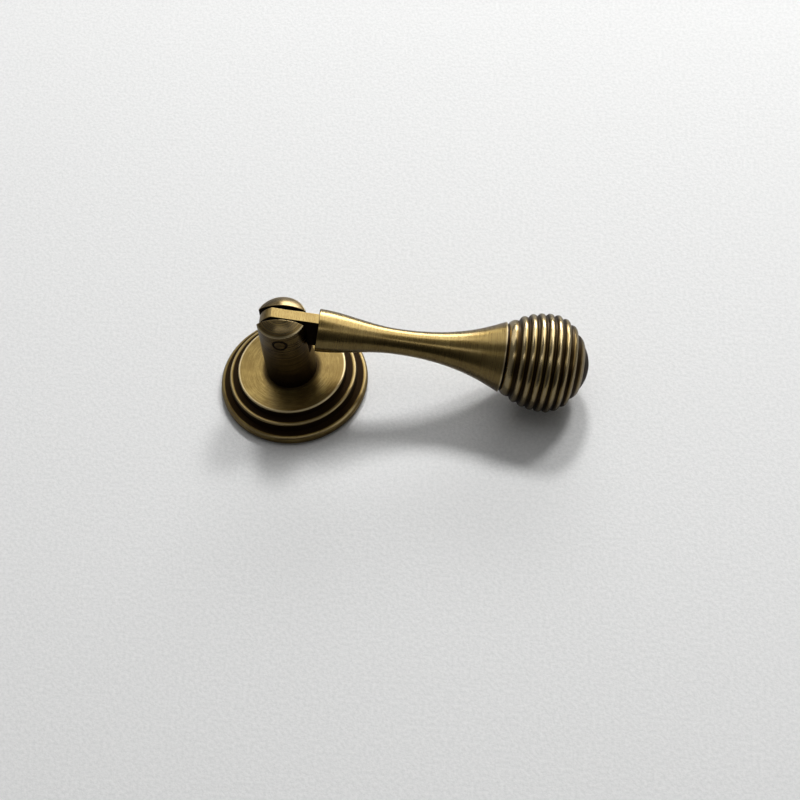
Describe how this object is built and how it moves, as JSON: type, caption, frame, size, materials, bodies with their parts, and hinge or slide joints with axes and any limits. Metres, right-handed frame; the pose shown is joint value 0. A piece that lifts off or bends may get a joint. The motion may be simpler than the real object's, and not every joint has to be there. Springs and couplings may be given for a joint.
{
  "type": "cabinet drop pull",
  "caption": "Drop pull for a cabinet door or drawer: a waisted lever with a ribbed beehive knob, hinged in a forked post on a round stepped plate.",
  "frame": {"origin": "centre of the plate's back face, at the mouth of the tapped screw hole", "axes": "+Z points out of the mounting surface along the post, and +X points the way the pendant lies at rest; the hinge pin lies along Y"},
  "size_m": [0.0745, 0.0298, 0.0249],
  "materials": {
    "plate_brass": "antique brass, turned, brushed in circles, dark patina in the steps",
    "post_brass": "antique brass, fine turning lines, darkened, bright rim",
    "pin_brass": "antique brass, ends filed flush",
    "stem_brass": "antique brass, brushed round the axis",
    "knob_brass": "antique brass, polished ribs, black patina in the valleys",
    "nut_brass": "bright machined brass",
    "washer_steel": "zinc-plated spring steel",
    "stud_steel": "zinc-plated steel"
  },
  "bodies": {
    "mounted_post": {"backplate": "plate_brass", "post": "post_brass", "post_washer": "washer_steel", "post_nut": "nut_brass", "hinge_pin": "pin_brass"},
    "pendant": {"lever_stem": "stem_brass", "joining_stud": "stud_steel", "beehive_knob": "knob_brass"}
  },
  "joints": [
    {"name": "pendant_hinge", "type": "hinge", "parent": "mounted_post", "child": "pendant", "pos_m": [0, 0, 0.0206], "axis": [0, -1, 0], "range_deg": [0, 203.9]}
  ]
}
